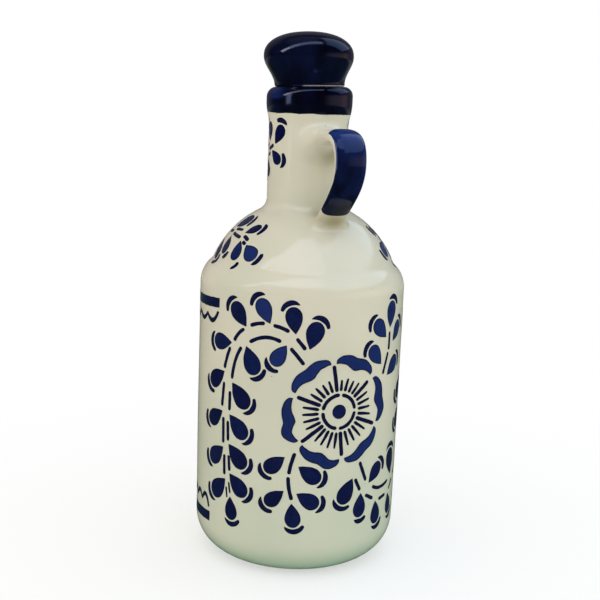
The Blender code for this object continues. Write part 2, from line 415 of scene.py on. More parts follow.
def drawVessel():
    v = vessel
    corner, dome = (v["barrelRadius"] - v["cornerRound"], v["barrelTop"]), (0.0, v["domeCentre"])
    cornerReach, domeReach = v["cornerRound"] + v["creaseRound"], v["domeRadius"] + v["creaseRound"]
    crease = max(geometry.intersect_sphere_sphere_2d(corner, cornerReach, dome, domeReach), key=sum)
    filletOut = v["neckRadius"] + v["neckFillet"]
    filletRise = math.sqrt((v["domeRadius"] + v["neckFillet"]) ** 2 - filletOut ** 2)
    fillet = (filletOut, v["domeCentre"] + filletRise)
    cornerTurn, domeLow, domeHigh = heading(corner, crease), heading(dome, crease), heading(dome, fillet)
    recessEdge = v["barrelRadius"] - v["baseRound"] - v["footWidth"]

    wire = startWire(0, v["footRecess"])
    lineTo(wire, recessEdge - v["footRecess"], v["footRecess"], 6)
    arcTo(wire, (recessEdge - v["footRecess"], 0), -90, 6)
    lineTo(wire, v["barrelRadius"] - v["baseRound"], 0, 4)
    outsideStart = len(wire.verts) - 1
    arcTo(wire, (v["barrelRadius"] - v["baseRound"], v["baseRound"]), 90, 20)
    wallFoot = len(wire.verts) - 1
    lineTo(wire, v["barrelRadius"], v["barrelTop"], 60)
    arcTo(wire, corner, cornerTurn, 14)
    arcTo(wire, crease, domeLow - cornerTurn, 6)
    arcTo(wire, dome, domeHigh - domeLow, 24)
    arcTo(wire, fillet, -domeHigh, 12)
    flareFoot = v["mouth"] - v["lipRound"] - v["lipSide"] - v["lipFlare"]
    lineTo(wire, v["neckRadius"], flareFoot, 18)
    flareSteps = 14
    for i in range(1, flareSteps + 1):
        ease = (1 - math.cos(math.pi * i / flareSteps)) / 2
        flared = v["neckRadius"] + (v["lipRadius"] - v["neckRadius"]) * ease
        lineTo(wire, flared, flareFoot + v["lipFlare"] * i / flareSteps)
    lineTo(wire, v["lipRadius"], v["mouth"] - v["lipRound"], 2)
    arcTo(wire, (v["lipRadius"] - v["lipRound"], v["mouth"] - v["lipRound"]), 90, 10)
    lineTo(wire, v["neckBore"] + v["lipInner"], v["mouth"], 2)
    arcTo(wire, (v["neckBore"] + v["lipInner"], v["mouth"] - v["lipInner"]), 90, 5)
    lineTo(wire, v["neckBore"], v["mouth"] - 6, 4)
    outsideEnd = len(wire.verts)
    # inside, plainer
    innerDome, innerCorner = v["domeRadius"] - v["wall"], v["cornerRound"] - v["wall"]
    inside = max(geometry.intersect_sphere_sphere_2d(corner, innerCorner, dome, innerDome), key=sum)
    boreTurn = math.degrees(math.acos(v["neckBore"] / innerDome))
    lineTo(wire, v["neckBore"], v["domeCentre"] + innerDome * math.sin(math.radians(boreTurn)), 8)
    arcTo(wire, dome, heading(dome, inside) - boreTurn, 10)
    arcTo(wire, corner, -heading(corner, inside), 6)
    turn = v["baseRound"] - v["wall"]
    lineTo(wire, v["barrelRadius"] - v["wall"], v["floor"] + turn, 4)
    arcTo(wire, (v["barrelRadius"] - v["wall"] - turn, v["floor"] + turn), -90, 8)
    lineTo(wire, 0, v["floor"], 3)
    wire.verts.ensure_lookup_table()
    outside = [Vector((vert.co.x, vert.co.z)) for vert in wire.verts[outsideStart:outsideEnd]]
    return wire, outside, wallFoot - outsideStart


vesselWire, skinLine, wallFoot = drawVessel()
# run of the outside from foot to mouth, in metres: it equals the height on the upright wall
skinRun = runsOf(skinLine)
offset = skinLine[wallFoot].y - skinRun[wallFoot]
skinRun = [run + offset for run in skinRun]
skinOut = []
for i in range(len(skinLine)):
    ahead = skinLine[min(i + 1, len(skinLine) - 1)] - skinLine[max(i - 1, 0)]
    skinOut.append(Vector((ahead.y, -ahead.x)).normalized())
lipTop = max(range(len(skinLine)), key=lambda i: skinLine[i].y)


# how a hand-finished wall wanders: the swirls' turn and rise, and heights in metres
wallWander = {
    "around": 1.1, "rise": 0.055,
    "top": 0.196, "topFade": 0.04, "footFade": 0.02,
    "taperTop": 0.07, "taperRun": 0.05,
    "tipFrom": 0.2, "tipRun": 0.006,  # where the lip's tilt sets in
}


def unevenness(theta, height):
    w = wallWander
    fade = clamp((w["top"] - height) / w["topFade"]) * min(1.0, height / w["footFade"])
    swirl = Vector((w["around"] * math.cos(theta), w["around"] * math.sin(theta), height / w["rise"]))
    taper = clamp((w["taperTop"] - height) / w["taperRun"])
    return mm * (vessel["unevenness"] * fade * noise.noise(swirl) - vessel["footTaper"] * taper * taper)


def tipMouth(spot):
    share = clamp((spot.z - wallWander["tipFrom"]) / wallWander["tipRun"])
    rise = vessel["mouthRaise"] * mm + math.tan(math.radians(vessel["mouthTip"])) * spot.dot(viewRight)
    return spot + up * rise * share * share * (3 - 2 * share)


def runAt(height):
    i, share = stepAt([spot.y for spot in skinLine[:lipTop]], height)
    return skinRun[i - 1] + share * (skinRun[i] - skinRun[i - 1])


def onSkin(theta, run, proud=0.0):
    i, share = stepAt(skinRun, run)
    spot = skinLine[i - 1].lerp(skinLine[i], share) + skinOut[i - 1].lerp(skinOut[i], share) * proud
    radius = spot.x + unevenness(theta, spot.y)
    return tipMouth(Vector((radius * math.sin(theta), -radius * math.cos(theta), spot.y)))


def radiusAt(run):
    i, share = stepAt(skinRun, run)
    return skinLine[i - 1].lerp(skinLine[i], share).x


# painted shade in the crooks of the handle, under its foot and beside its top root: mm to the right, height,
# half width and height, how far out, and tint
crookShades = [(0.0, 155.5, 7.0, 4.5, 60.0, 0.88), (2.5, 183.0, 6.0, 5.5, 24.0, 0.6)]
crookShadeFade = 4.0  # mm


def paintedShadeAt(spot):
    x, y, z = spot / mm
    tints = 0.0
    for aside, height, wide, high, reach, tint in crookShades if y <= 0 else []:
        tints += tint * bell(x, aside, wide) * bell(z, height, high) * clamp((reach + y) / crookShadeFade)
    return tints


def makeVessel():
    turnOnWheel(vesselWire, vessel["turns"])
    paintedShade = vesselWire.verts.layers.float.new("paintedShade")
    for vert in vesselWire.verts:
        # painted shade round the handle's roots
        vert[paintedShade] = paintedShadeAt(vert.co)
        flat = Vector((vert.co.x, vert.co.y, 0))
        if flat.length > 0.001:
            theta = math.atan2(vert.co.x, -vert.co.y)
            vert.co = tipMouth(vert.co + flat.normalized() * unevenness(theta, vert.co.z))
    keepPiece("vessel", vesselWire, whiteLook, "bottle", "white_glaze", "bottle_body")


makeVessel()


# brush work, drawn flat in mm and laid on the wall
brushWork = {
    "proud": 0.05,  # mm above the glaze
    "depth": 0.1,
    "shake": 0.14,  # mm that a stencil edge wanders
    "shakeRun": 2.6,
    "steady": 0.5,  # half width below which a stroke shakes less
}


def wallAt(degrees, height):
    theta, start = math.radians(degrees), runAt(height * mm)

    def place(x, y):
        run = start + y * mm
        return onSkin(theta + x * mm / radiusAt(run), run, brushWork["proud"] * mm)

    return place


def startPaint():
    sheet = bmesh.new()
    sheet.loops.layers.uv.new("brush")
    sheet.faces.layers.float.new("paleness")
    return sheet


def markPaint(sheet, faces, marks, palenessOf):
    brushMap, palenessLayer = sheet.loops.layers.uv["brush"], sheet.faces.layers.float["paleness"]
    for face in faces:
        face[palenessLayer] = palenessOf(face)
        for loop in face.loops:
            loop[brushMap].uv = marks[loop.vert]


def lay(sheet, place, spotAt, along, across, paleness):
    # spotAt gives a point in mm and how far it is from the edge, for a share along and -1 to 1 across
    grid = bmesh.ops.create_grid(sheet, x_segments=along, y_segments=across, size=1.0)
    marks = {}
    for vert in grid["verts"]:
        u, v = (1 - math.cos(math.pi * (vert.co.x + 1) / 2)) / 2, vert.co.y
        spot, inward = spotAt(u, v)
        marks[vert] = (u, inward)
        vert.co = place(spot.x, spot.y)
    faces = {face for vert in grid["verts"] for face in vert.link_faces}
    markPaint(sheet, faces, marks, lambda face: paleness)


def wander(along, seed, side, half):
    # how far an edge is out, for a stroke this half width; its middle line stays put
    if not side:
        return 0.0
    shake = noise.noise(Vector((along / brushWork["shakeRun"], seed, math.copysign(3, side))))
    return brushWork["shake"] * shake * min(1, half / brushWork["steady"])


def stroke(sheet, place, path, width, along=14, across=4, paleness=None):
    seed, tone = hand.uniform(0, 99), hand.uniform(0.0, 0.28)
    length = sum((path((i + 1) / 8) - path(i / 8)).length for i in range(8))

    def spotAt(u, v):
        ahead = path(min(u + 0.01, 1)) - path(max(u - 0.01, 0))
        side = Vector((-ahead.y, ahead.x)).normalized()
        half = width(u) / 2
        return path(u) + side * v * (half + wander(u * length, seed, v, half)), half * (1 - abs(v))

    lay(sheet, place, spotAt, along, across, tone if paleness is None else paleness)


def finishPaint(name, sheet, material=stencilLook):
    bmesh.ops.remove_doubles(sheet, verts=sheet.verts, dist=0.000002)
    bmesh.ops.dissolve_degenerate(sheet, edges=sheet.edges, dist=0.000001)
    sheet.normal_update()
    grown = bmesh.ops.extrude_face_region(sheet, geom=sheet.faces[:], use_keep_orig=True)["geom"]
    for vert in [thing for thing in grown if isinstance(thing, bmesh.types.BMVert)]:
        vert.co -= vert.normal * brushWork["depth"] * mm
    bmesh.ops.recalc_face_normals(sheet, faces=sheet.faces)
    return keepPiece(name, sheet, material, "bottle", "cobalt_glaze")


def straight(start, end):
    a, b = Vector(start), Vector(end)
    return lambda u: a.lerp(b, u)


def bowed(start, middle, end):
    a, m, b = Vector(start), Vector(middle), Vector(end)
    return lambda u: a * (1 - u) * (1 - 2 * u) + m * 4 * u * (1 - u) + b * u * (2 * u - 1)


def ringPath(centre, radius, start, end):
    hub = Vector(centre)

    def path(u):
        return hub + radius * pointing(math.radians(start + (end - start) * u))

    return path


def roundEnds(wide, length):
    cap = wide / 2 / length

    def width(u):
        near = min(u, 1 - u)
        return wide if near >= cap else wide * math.sqrt(max(0.0, 1 - (1 - near / cap) ** 2))

    return width


leafForm = {"fullness": 0.635, "peak": 0.64, "gap": 0.5, "curl": 2.35, "hug": 0.1, "overrun": 0.35}
leanAngles = {1: (66, -38), 0: (57, -55), -1: (-66, 38)}


def leaf(sheet, place, tipX, tipY, endX, endY, lean=0, paleness=None):
    tip, end = Vector((tipX, tipY)), Vector((endX, endY))
    axis = (end - tip).normalized()
    end += axis * leafForm["overrun"]
    wide = leafForm["fullness"] * (end - tip).length
    peak = leafForm["peak"]

    def blade(u):
        if u < peak:
            return wide * math.sin(math.pi / 2 * u / peak) ** 0.95
        return wide * math.sqrt(max(0.0, 1 - ((u - peak) / (1 - peak)) ** 2))

    stroke(sheet, place, straight(tip, end), blade, 18, 4, paleness)
    if lean is None:
        return
    # the curl of colour that caps the round end, blunt on its long side
    turn = math.degrees(math.atan2(axis.y, axis.x))
    first, last = lean if isinstance(lean, tuple) else leanAngles[lean]
    reach = wide / 2 + leafForm["gap"] + leafForm["curl"] / 2
    hub = end - axis * wide / 2

    def curl(u):
        swing = math.radians(first + (last - first) * u)
        out = (reach + 0.4 - 0.5 * u) * (1 - leafForm["hug"] * math.sin(swing) ** 2)
        return hub + out * pointing(math.radians(turn) + swing)

    def thickness(u):
        return leafForm["curl"] * math.sin(math.pi * u) ** (0.22 + 0.5 * u)

    stroke(sheet, place, curl, thickness, 16, 2, 0.15)


dashWidth = 1.65


def dash(sheet, place, *row):
    # two or three points and, where it isn't the usual, the width
    spots = [Vector(spot) for spot in row if isinstance(spot, (tuple, Vector))]
    wide = row[-1] if isinstance(row[-1], float) else dashWidth
    path = straight(*spots) if len(spots) == 2 else bowed(*spots)
    length = sum((b - a).length for a, b in zip(spots, spots[1:]))
    stroke(sheet, place, path, roundEnds(wide, length), 12, 2, 0.05)


def mirrored(rows):
    # leaf rows flipped left to right, with the curl leaning the other way
    def opposite(lean):
        return tuple(-angle for angle in lean) if isinstance(lean, tuple) else lean and -lean

    return [(-a, b, -c, d, opposite(lean), *rest) for a, b, c, d, lean, *rest in rows]


def flipped(rows):
    return [[(-spot[0], spot[1]) if isinstance(spot, tuple) else spot for spot in row] for row in rows]


barrel = wallAt(0, 17)
barrelZero = 17.0


def onBarrel(x, y):
    return barrel(x, y - barrelZero)


# vine that arches over the left of the flower: x to the right of the handle and height, in mm, of each leaf's
# tip and round end; then which way the curl leans, or its two angles; then how pale it is
archVine = {
    "leaves": [
        (-44, 111, -51.2, 120.3, 1), (-33, 113.5, -38, 123.5, 1, 0.75), (-22, 109.8, -23.6, 121, 1),
        (-16, 103.5, -12.7, 115, -1), (-51.5, 103, -62.8, 102, 0), (-55.4, 89.8, -65, 82.8, 0),
        (-56, 72, -65.3, 65.4, -1), (-55, 56, -63.8, 47.8, -1), (-53.4, 41.8, -61.9, 32.6, -1),
        (-43.8, 102.8, -39, 91.2, (60, -36)), (-25.6, 105, -31.3, 96.3, (42, -62), 0.8),
        (-50.6, 85.7, -42.3, 76, 1), (-51.7, 71.3, -42.7, 62.5, 1), (-51.8, 58, -42.8, 49.2, 1),
        (-51, 44.8, -42.3, 36.4, 1), (-50.4, 34.3, -49.5, 24, 0),
    ],
    "stem": [
        [(-50.2, 104), (-48.1, 107.4), (-44.9, 110)], [(-42.1, 111.8), (-38.8, 113), (-35.3, 113.5)],
        [(-31.7, 113), (-28, 112.2), (-24.7, 110.7)], [(-21.6, 108.2), (-17.6, 103.4)],
        [(-42.3, 104.6), (-34.9, 107.6), (-28, 106.2)], [(-24, 104), (-18, 97)],
        [(-46.1, 102), (-49.4, 95.2), (-50.8, 87.2)], [(-51.7, 81.7), (-51.8, 73)],
        [(-52.3, 101), (-54.2, 96), (-55.5, 91.1)], [(-55.5, 85.1), (-56.4, 74)],
        [(-55.3, 69.4), (-55.1, 57.7)], [(-54.3, 52.8), (-54.1, 43.5)],
        [(-52.8, 38.4), (-52.2, 33.4), 1.0], [(-52.5, 68.3), (-52.2, 59.3)], [(-51.6, 53), (-51, 45.9)],
        [(-51.3, 40.8), (-50.5, 35.8), 1.0],
    ],
}
# sprigs under and beside the flower
lowSprigs = {
    "leaves": [
        (-24.7, 56.5, -33.1, 49.7, 0), (-24.7, 41.4, -32.4, 34.7, 0), (-21.2, 35.8, -20, 25.2, 0),
        (-18.8, 52.5, -9.5, 46, 1), (-19.2, 40.4, -9.8, 34.7, 1), (6.3, 45.7, 0.9, 34.9, 0),
        (11.5, 38, 10.8, 27.2, (52, -28)), (21.5, 32, 22.6, 21.5, 1), (33.5, 32.2, 35.8, 22.4, 1),
        (16, 41.7, 23.3, 49.5, -1), (35.5, 40.7, 32.7, 53.3, -1),
    ],
    "stem": [
        [(-20.4, 58.6), (-22, 53.5), (-22.7, 48.9)], [(-23, 47.8), (-22.5, 42.5), (-21.1, 37.4)],
        [(7.7, 45.3), (10.8, 39.4)], [(14.2, 36.6), (19.5, 33.7)], [(24.2, 32.1), (30.3, 32.6)],
        [(9.7, 52.6), (14, 43.2)], [(18.7, 39.7), (24.5, 37.6), (32.6, 38.8)],
        [(38.6, 37.8), (34.7, 33.7)],
    ],
}
rightSprig = {
    "leaves": [
        (25.6, 110, 27, 121.5, -1, 0.6), (22.8, 106.3, 14.7, 114, 1, 0.7),
        (20, 94.8, 12.7, 103, 1, 0.7), (29, 103.5, 35.5, 111.5, -1, 0.7), (25, 89, 34.2, 95.6, -1, 0.6),
    ],
    "stem": [[(25.6, 108.4), (25.4, 100.2)], [(25, 99.4), (21.6, 90)]],
}
# the far column is the near one turned over, thinner where the sprigs already fill the wall
farColumn = {
    "leaves": [
        (51.5, 97, 62.8, 97.5, 0), (55.4, 85, 64, 77.5, 0), (56, 70, 64.3, 62.8, 1),
        (55, 56, 62.6, 47.2, 1), (53.4, 41.8, 60.8, 32, 1), (46.6, 85.7, 38.3, 76, -1),
        (47.7, 71.3, 38.7, 62.5, -1), (50.2, 34.3, 49, 24, 0), (51, 101, 48.5, 112, 1),
    ],
    "stem": [
        [(50.8, 99), (52, 88)], [(54, 95), (55.6, 87.5)], [(55.6, 81.5), (56.2, 72.5)],
        [(51.8, 84), (51.9, 73)], [(55.3, 67), (55.1, 58)], [(52, 69), (52, 57)],
        [(54.3, 52.8), (54.1, 43.5)], [(51.4, 53), (51, 40)], [(52.9, 38.4), (52.2, 34.5)],
        [(40.5, 39.5), (44.5, 42.2), (48.3, 46.5)],
    ],
}


def paintVine(name, vine, place):
    sheet = startPaint()
    for row in vine["leaves"]:
        leaf(sheet, place, *row)
    for row in vine["stem"]:
        dash(sheet, place, *row)
    finishPaint(name, sheet)


paintVine("arch_vine", archVine, onBarrel)
paintVine("low_sprigs", lowSprigs, onBarrel)
paintVine("right_sprig", rightSprig, onBarrel)
paintVine("far_column", farColumn, onBarrel)

# six-petalled flower under the handle; the rays are (degrees, outer end in mm)
flower = {
    "centre": (-2.0, 76.4), "eye": 3.15, "ring": 7.3, "ringWide": 1.6,
    "ringParts": [(5, 83), (90, 172), (180, 263), (271, 357)],  # degrees
    "rays": [(41, 18.6), (99, 20.6), (160, 19.8), (219, 20.8), (276, 20.0), (338, 20.2)],
    "rayStart": 8.8, "rayWide": 1.75,
    "hairs": 4, "hairStart": 9.0, "hairEnd": 16.2, "hairWide": 1.5, "hairStray": 0.4,
    "shortTop": 1.9, "shortAt": 95, "shortWide": 55,  # mm that hairs are shorter at the top, and where
    # each petal's inner bulge, and how far and where along it one lobe swings out
    "petals": [
        (2.5, 0.0, 0.5), (2.3, 0.0, 0.5), (2.1, 1.8, 0.76),
        (2.0, 0.9, 0.74), (1.9, 0.0, 0.5), (2.6, 1.0, 0.26),
    ],
    "petalEnd": 21.0, "swell": 4.2, "notch": 1.0, "gap": 3.2,
}


def paintFlower(name, place, centre, scale=1.0):
    f, hub = flower, Vector(centre)
    sheet = startPaint()

    def ray(degrees, length):
        return hub + length * scale * pointing(math.radians(degrees))

    def disc(u):
        return 2 * f["eye"] * scale * math.sqrt(max(0.0, 1 - (2 * u - 1) ** 2))

    def hair(u):
        # thickest near the middle of the flower, thin but round at its tip
        ends = min(1.0, (u / 0.1) ** 0.5) * min(1.0, ((1 - u) / 0.06) ** 0.5)
        return f["hairWide"] * scale * ends * (1 - 0.4 * u ** 1.6)

    stroke(sheet, place, straight(ray(180, f["eye"]), ray(0, f["eye"])), disc, 20, 4, 0.3)
    for start, end in f["ringParts"]:
        wide = roundEnds(f["ringWide"] * scale, math.radians(end - start) * f["ring"] * scale)
        stroke(sheet, place, ringPath(hub, f["ring"] * scale, start, end), wide, 20, 2, 0.05)
    for i, (turn, rayEnd) in enumerate(f["rays"]):
        step = (f["rays"][(i + 1) % len(f["rays"])][0] - turn) % 360
        wide = roundEnds(f["rayWide"] * scale, (rayEnd - f["rayStart"]) * scale)
        stroke(sheet, place, straight(ray(turn, f["rayStart"]), ray(turn, rayEnd)), wide, 12, 2, 0.05)
        for j in range(f["hairs"]):
            angle = turn + step * (j + 1) / (f["hairs"] + 1)
            shorter = f["shortTop"] * bell(angle % 360, f["shortAt"], f["shortWide"])
            tip = f["hairEnd"] - shorter + hand.uniform(-f["hairStray"], f["hairStray"])
            stroke(sheet, place, straight(ray(angle, f["hairStart"]), ray(angle, tip)), hair, 12, 2, 0.05)
        (belly, swing, swingAt), skew = f["petals"][i], hand.uniform(-0.04, 0.04)

        def edges(u):
            lobe = swing * bell(u, swingAt, 0.18)
            notch = f["notch"] * bell(u - 0.5, skew, 0.14)
            outer = f["petalEnd"] + f["swell"] * math.sin(math.pi * u) ** 0.3 - notch
            inner = f["petalEnd"] - belly * bell(u - 0.5, skew, 0.21) * min(1, 9 * u * (1 - u))
            return outer + lobe, inner + 0.8 * lobe

        def petal(u, v):
            outer, inner = edges(u)
            half = (outer - inner) / 2
            reach = (outer + inner) / 2 + v * (half + wander(26 * u, turn, v, half))
            return ray(turn + f["gap"] + (step - 2 * f["gap"]) * u, reach), half * (1 - abs(v)) * scale

        lay(sheet, place, petal, 40, 4, hand.uniform(0.5, 0.8))
    finishPaint(name, sheet)


paintFlower("flower", onBarrel, flower["centre"])

# borders of the panel round the back: a bar and a row of scallops above and below
panel = {
    "top": {
        "scallops": 18, "ends": (-60.0, -229.0), "bar": (116.6, 120.9),
        "cusp": 113.8, "belly": 110.7, "end": 115.0,
    },
    "bottom": {
        "scallops": 22, "ends": (-64.6, -224.4), "bar": (18.6, 23.1),
        "cusp": 27.0, "belly": 30.4, "end": 25.0,
    },
    "thin": 1.4, "thick": 2.1, "inset": 1.0,
    "droop": 0.9, "droopRun": 22.0,  # mm that a border sinks away from its ends, and over how far
}


def paintPanel():
    sheet = startPaint()

    def swagWidth(u):
        return panel["thin"] + (panel["thick"] - panel["thin"]) * math.sin(math.pi * u)

    for edge in (panel["top"], panel["bottom"]):
        right, left = edge["ends"]
        first, last = right - panel["inset"], left + panel["inset"]
        pitch = (first - last) / edge["scallops"]
        low, high = edge["bar"]

        def drooped(x, y):
            share = min(1.0, (right - x) / panel["droopRun"], (x - left) / panel["droopRun"])
            return onBarrel(x, y - panel["droop"] * math.sin(math.pi / 2 * max(0.0, share)))

        middle = (low + high) / 2
        bar = straight((right, middle), (left, middle))
        stroke(sheet, drooped, bar, lambda u: high - low, 150, 2, 0.1)
        for i in range(edge["scallops"]):
            a, b = first - i * pitch, first - (i + 1) * pitch
            startY = edge["end"] if i == 0 else edge["cusp"]
            endY = edge["end"] if i == edge["scallops"] - 1 else edge["cusp"]

            def swag(u):
                ends = startY + (endY - startY) * u
                sag = (edge["belly"] - ends) * math.sin(math.pi * u) ** 0.75
                return Vector((a + (b - a) * u, ends + sag))

            stroke(sheet, drooped, swag, swagWidth, 18, 2, 0.05)
    finishPaint("panel_borders", sheet)


paintPanel()

# plain wreath inside the panel
wreath = {
    "centre": -144.5, "height": 68.0, "radius": 27.0, "leaves": 7, "first": -66.0, "last": 62.0,
    "leafLength": 10.5, "innerLength": 7.5, "aside": 1.2, "innerLater": 0.25,
    "splays": (38, -42),  # degrees, of the inner and the outer leaves
    "stem": (-0.42, -0.2, 0.02),  # steps past a leaf
    "flower": 0.42,
}


def paintWreath():
    w = wreath
    sheet = startPaint()
    hub = Vector((w["centre"], w["height"]))

    def angleAt(step):
        return math.radians(w["first"] + (w["last"] - w["first"]) * step / (w["leaves"] - 0.5))

    for sign in (1, -1):
        def outAt(angle):
            return Vector((sign * math.cos(angle), math.sin(angle)))

        for i in range(w["leaves"]):
            for splay in w["splays"]:
                inner = splay > 0
                angle = angleAt(i + (w["innerLater"] if inner else 0.0))
                root = hub + w["radius"] * outAt(angle)
                root += (-w["aside"] if inner else w["aside"]) * outAt(angle)
                length = w["innerLength"] if inner else w["leafLength"]
                end = root + length * outAt(angle + math.pi / 2 + math.radians(splay))
                leaf(sheet, onBarrel, root.x, root.y, end.x, end.y, None if inner else -sign)
        for i in range(w["leaves"] + 1):
            spots = [hub + w["radius"] * outAt(angleAt(i + part)) for part in w["stem"]]
            dash(sheet, onBarrel, *spots)
    finishPaint("wreath", sheet)
    paintFlower("wreath_flower", onBarrel, hub, w["flower"])


paintWreath()

# sprigs on the shoulder and the neck, in mm round a middle point
shoulderSprig = {
    "height": 147.0,
    "places": {
        "shoulder_sprig_left": (-82, 1), "shoulder_sprig_right": (69, -1), "shoulder_sprig_back": (171, -1),
    },
    "leaves": [
        (-11, 3.3, -2.4, 10.4, (-78, 5)), (2.2, 1.6, 8.6, 5.8, (-78, 20)),
        (3.4, -2.7, 5.8, -11.8, None, 0.5), (8.4, -4.2, 16.4, -10.2, (50, -26), 0.85),
        (-7.2, -1.6, -4.8, -10.2, (60, 0)), (-15.2, -4.1, -11.5, -13.6, 1), (-16, 3.2, -23.5, 9.4, 1),
    ],
    "stem": [
        [(-7.3, 0.1), (1.7, -1.3)], [(-7.4, 2.4), (-0.6, 2.7)], [(3.2, 0.1), (7.8, -2)],
        [(4.8, -2.8), (7.7, -4.1)], [(-15, 0.6), (-9, 0.7)],
        [(9.0, -12.4), (8.1, -14.6), (6.3, -16.0), 2.0],
    ],
    # leaves that lie differently on one of them, or were left out
    "changed": {
        ("shoulder_sprig_right", 1): (-2.2, 0.7, -8.6, 4.9, (78, -20)),
        ("shoulder_sprig_right", 3): (-8.0, -2.6, -16.0, -8.6, (-50, 26), 0.85),
        ("shoulder_sprig_back", 6): None,
    },
}
neckSprig = {
    "height": 184.5, "places": {"neck_sprig_left": (-92, 1), "neck_sprig_right": (86, -1)},
    "leaves": [
        (3.9, 1.7, 8.3, 9.6, (54, -24)), (1.4, -1.1, 7.2, -6.2, (82, -18)),
        (-0.9, 2.8, -1.6, 11, (20, 96)), (-3, -5, -2.4, -12.5, (-30, -100)),
        (-5.4, 0.6, -12.6, 4.6, -1), (-4.8, -3, -11, -8.6, -1),
    ],
    "stem": [[(-1.8, -0.8), (2.7, 1.4)], [(-2.4, -3.5), (-0.2, -1.9)], [(-4.4, 0.2), (-2.4, 1.8)]],
    "changed": {},
}
for sprig in (shoulderSprig, neckSprig):
    for name, (degrees, side) in sprig["places"].items():
        leaves, stem = sprig["leaves"], sprig["stem"]
        if side < 0:
            leaves, stem = mirrored(leaves), flipped(stem)
        leaves = [sprig["changed"].get((name, i), row) for i, row in enumerate(leaves)]
        rows = {"leaves": [row for row in leaves if row], "stem": stem}
        paintVine(name, rows, wallAt(degrees, sprig["height"]))

# band of solid blue over the lip, its lower edge cut in by hand
lipBand = {
    "low": 199.7, "wander": 0.35, "inside": 3.0, "around": 240, "over": 26,
    # degrees round where the upper lip is painted paler as a painted sky reflection, how wide that is, and a
    # fainter paler place across from it
    "paleAt": -76.0, "paleWide": 22, "fainter": 0.5, "acrossAt": 170, "acrossWide": 40,
    "paleShare": 0.55, "paleFrom": 0.2045, "paleRun": 0.002,  # metres of height
}


def paintLip():
    b = lipBand
    sheet = startPaint()
    grid = bmesh.ops.create_grid(sheet, x_segments=b["around"], y_segments=b["over"], size=1.0)
    inward = vessel["lipRadius"] - vessel["neckBore"] - 2 + b["inside"]
    low, high = runAt(b["low"] * mm), skinRun[lipTop] + inward * mm
    marks = {}
    for vert in grid["verts"]:
        theta, share = math.pi * vert.co.x, (vert.co.y + 1) / 2
        wobble = noise.noise(Vector((2.6 * math.cos(theta), 2.6 * math.sin(theta), 4)))
        wobble += 0.4 * noise.noise(Vector((9 * math.cos(theta), 9 * math.sin(theta), 1)))
        start = low + b["wander"] * wobble * mm
        marks[vert] = (share, 9 * share)
        vert.co = onSkin(theta, start + (high - start) * share, brushWork["proud"] * mm)

    # painted reflection: the upper lip paler towards its left
    def palenessOf(face):
        middle = face.calc_center_median()
        side = math.degrees(math.atan2(middle.x, -middle.y)) - b["paleAt"]
        thin = bell(side, 0, b["paleWide"]) + b["fainter"] * bell(side, b["acrossAt"], b["acrossWide"])
        return b["paleShare"] * thin * clamp((middle.z - b["paleFrom"]) / b["paleRun"])

    markPaint(sheet, sheet.faces, marks, palenessOf)
    finishPaint("lip_band", sheet, solidLook)


paintLip()
print("paint laid")

# handle
strap = {
    "width": 14.0, "neckWidth": 16.1, "footWidth": 12.6, "thick": 5.8, "squareness": 2.6,
    "neckRise": 26.0, "neckDrop": 22.3, "reachOut": 41.9, "reachDrop": 30.6, "shoulderOut": 24.4,
    "pulls": (18.5, 11.6, 9.8), "embed": 6.0,
    "neckFillet": 7.5, "shoulderFillet": 4.7,  # mm of clay smoothed round each root
    "sunk": 2.4, "lap": 0.1,  # mm of the root inside the wall, and where its smoothing starts
    "rings": 140, "rootRings": 24, "sides": 64, "lineSteps": 120,
    "probes": 46, "probeStep": 0.5,  # tries along a root, and mm between them
}
# blue brushed along the outside of the strap
strapBlue = {
    "along": 90, "around": 24, "mapSize": (50, 7),
    "edges": (17.0, -4.0),  # degrees round the section where the blue stops, at the top and at the foot
    "settled": 0.7, "wander": 2.0,  # share of the way where the foot's edge is reached, and degrees of wander
    "top": 16.0, "foot": 7.0,  # mm from the wall where the blue starts and ends
    "bow": 0.8,  # mm that the ends curve with the brush
    # painted reflection, paler near the top and darker further down; past the given share of the way a
    # painted shade, darker and less glossy
    "paleness": 0.66, "darkensDown": 0.72, "dimsBy": 2.8, "dimsFrom": 0.7,
}


def strapLine():
    s, v = strap, vessel
    outward = pointing(math.radians(s["neckRise"]))
    neck = Vector((v["neckRadius"], v["mouth"] - s["neckDrop"]))
    reach = Vector((s["reachOut"], v["mouth"] - s["reachDrop"]))
    normal = pointing(math.acos(s["shoulderOut"] / v["domeRadius"]))
    shoulder = Vector((0, v["domeCentre"])) + normal * v["domeRadius"]
    first, second, third = s["pulls"]
    drop = Vector((0, -second))
    upper = (neck - outward * s["embed"], neck + outward * first, reach - drop, reach)
    lower = (reach, reach + drop, shoulder + normal * third, shoulder - normal * s["embed"])
    spots = geometry.interpolate_bezier(*upper, s["lineSteps"])
    return [Vector(p) for p in spots + geometry.interpolate_bezier(*lower, s["lineSteps"])[1:]]


centreLine = strapLine()
strapRun = runsOf(centreLine)


def overSkin(point):
    # height over the wall and the way out of it, for a point in mm
    radial = Vector((point.x, point.y, 0)).normalized()
    theta = math.atan2(point.x, -point.y)
    spot = Vector((math.hypot(point.x, point.y) * mm - unevenness(theta, point.z * mm), point.z * mm))
    best = None
    for i in range(wallFoot, lipTop):
        a, b = skinLine[i], skinLine[i + 1]
        share = clamp((spot - a).dot(b - a) / (b - a).length_squared)
        gap = spot - a.lerp(b, share)
        if best is None or gap.length < abs(best[0]):
            out = skinOut[i].lerp(skinOut[i + 1], share)
            best = (math.copysign(gap.length, gap.dot(out)), out)
    return best[0] / mm, radial * best[1].x + up * best[1].y


